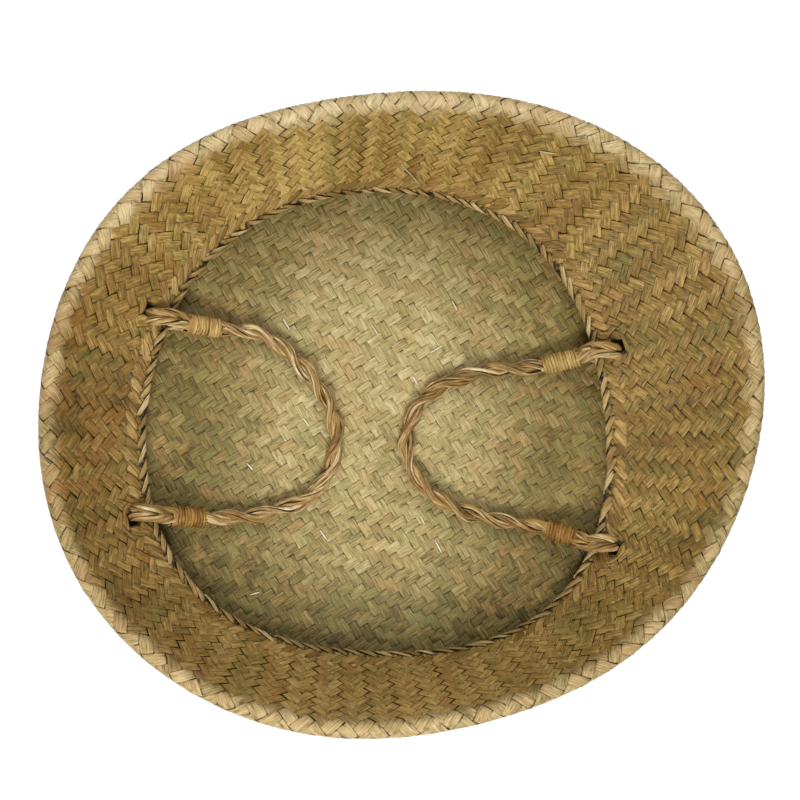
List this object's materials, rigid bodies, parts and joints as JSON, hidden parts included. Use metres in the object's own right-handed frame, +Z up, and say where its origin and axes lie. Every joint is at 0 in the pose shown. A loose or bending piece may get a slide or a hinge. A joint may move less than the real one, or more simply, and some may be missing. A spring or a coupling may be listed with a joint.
{
  "type": "belly basket",
  "caption": "Plaited seagrass belly basket, its upper half folded down inside, with a braided rim and rope handles that swing up, for holding a plant pot or small things.",
  "frame": {"origin": "on the underside of the flat base, at the middle of the mouth's plan", "axes": "+Z up, +X towards the right-hand handle, +Y towards the rear"},
  "size_m": [0.4069, 0.353, 0.1],
  "materials": {
    "base_plait": "matt dry seagrass, olive",
    "wall_plait": "matt dry seagrass, pale cream at the roll",
    "turned_in_plait": "matt dry seagrass, olive brown",
    "border_braid": "matt dry seagrass, brown",
    "handle_rope": "matt twisted seagrass fibre, tan",
    "whipping_strand": "matt seagrass strand, golden brown"
  },
  "bodies": {
    "basket": {"base_mat": "base_plait", "belly_wall": "wall_plait", "turned_in_wall": "turned_in_plait", "rim_border": "border_braid"},
    "left_handle": {"left_handle_rope": "handle_rope", "left_rear_whipping": "whipping_strand", "left_front_whipping": "whipping_strand"},
    "right_handle": {"right_handle_rope": "handle_rope", "right_rear_whipping": "whipping_strand", "right_front_whipping": "whipping_strand"}
  },
  "joints": [
    {"name": "left_handle_swing", "type": "hinge", "parent": "basket", "child": "left_handle", "pos_m": [-0.12917, 0.003, 0.01661], "axis": [-0.07, -0.9975, 0], "range_deg": [0, 120]},
    {"name": "right_handle_swing", "type": "hinge", "parent": "basket", "child": "right_handle", "pos_m": [0.12789, -0.01177, 0.01668], "axis": [0.0188, 0.9998, 0], "range_deg": [0, 120]}
  ]
}
